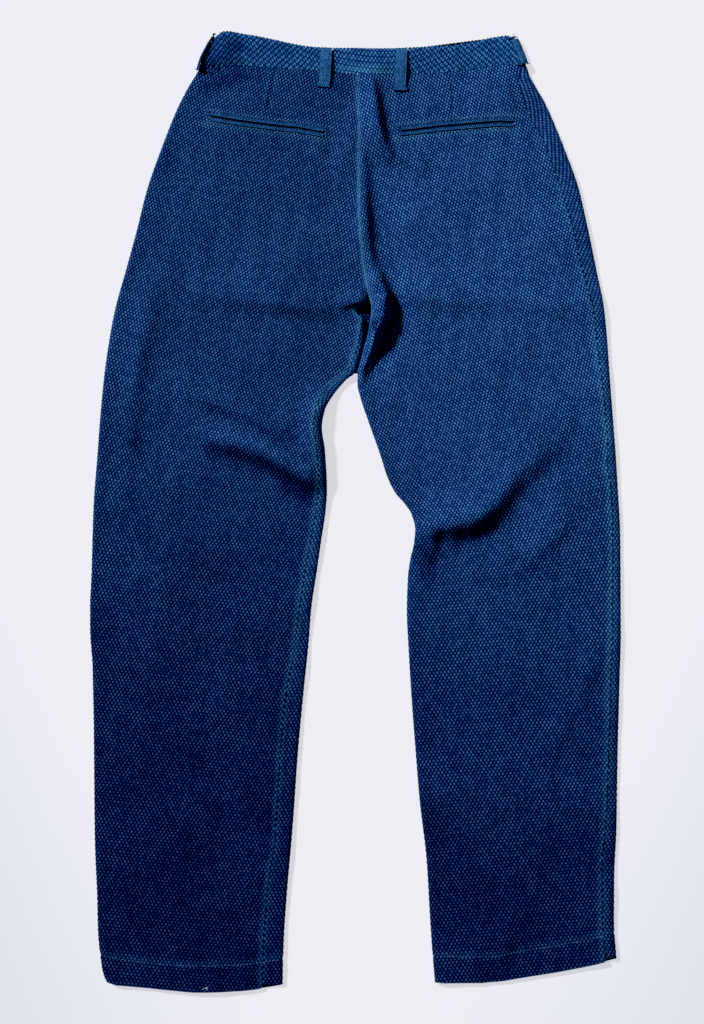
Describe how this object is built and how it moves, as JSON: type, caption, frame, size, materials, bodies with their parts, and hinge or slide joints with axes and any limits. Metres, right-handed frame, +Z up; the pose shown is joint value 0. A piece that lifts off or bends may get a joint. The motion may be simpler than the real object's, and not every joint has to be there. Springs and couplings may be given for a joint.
{
  "type": "sashiko trousers laid flat",
  "caption": "Straight-leg trousers of raised-grain sashiko cotton lying flat, back up, with waistband, belt loops, welt pockets, darts and turned hems.",
  "frame": {"origin": "on the floor, under the middle of the trousers' box", "axes": "+X to the wearer's right, +Y along the legs towards the waist, +Z up from the floor, back of the trousers up"},
  "size_m": [0.5622, 1.0165, 0.0252],
  "materials": {
    "panel_cloth": "matte, raised rice-grain sashiko weave",
    "band_cloth": "matte, raised rice-grain sashiko weave",
    "loop_cloth": "matte, faded along its edges",
    "button": "satin"
  },
  "bodies": {
    "root": {"back_left": "panel_cloth", "front_left": "panel_cloth", "back_right": "panel_cloth", "front_right": "panel_cloth", "waistband_back": "band_cloth", "waistband_front_right": "band_cloth", "waistband_front_left": "band_cloth", "welt_left_upper": "band_cloth", "welt_left_lower": "band_cloth", "welt_right_upper": "band_cloth", "welt_right_lower": "band_cloth", "loop_back_left": "loop_cloth", "loop_back_right": "loop_cloth", "loop_side_left": "loop_cloth", "loop_side_right": "loop_cloth", "waist_button": "button"}
  },
  "joints": []
}
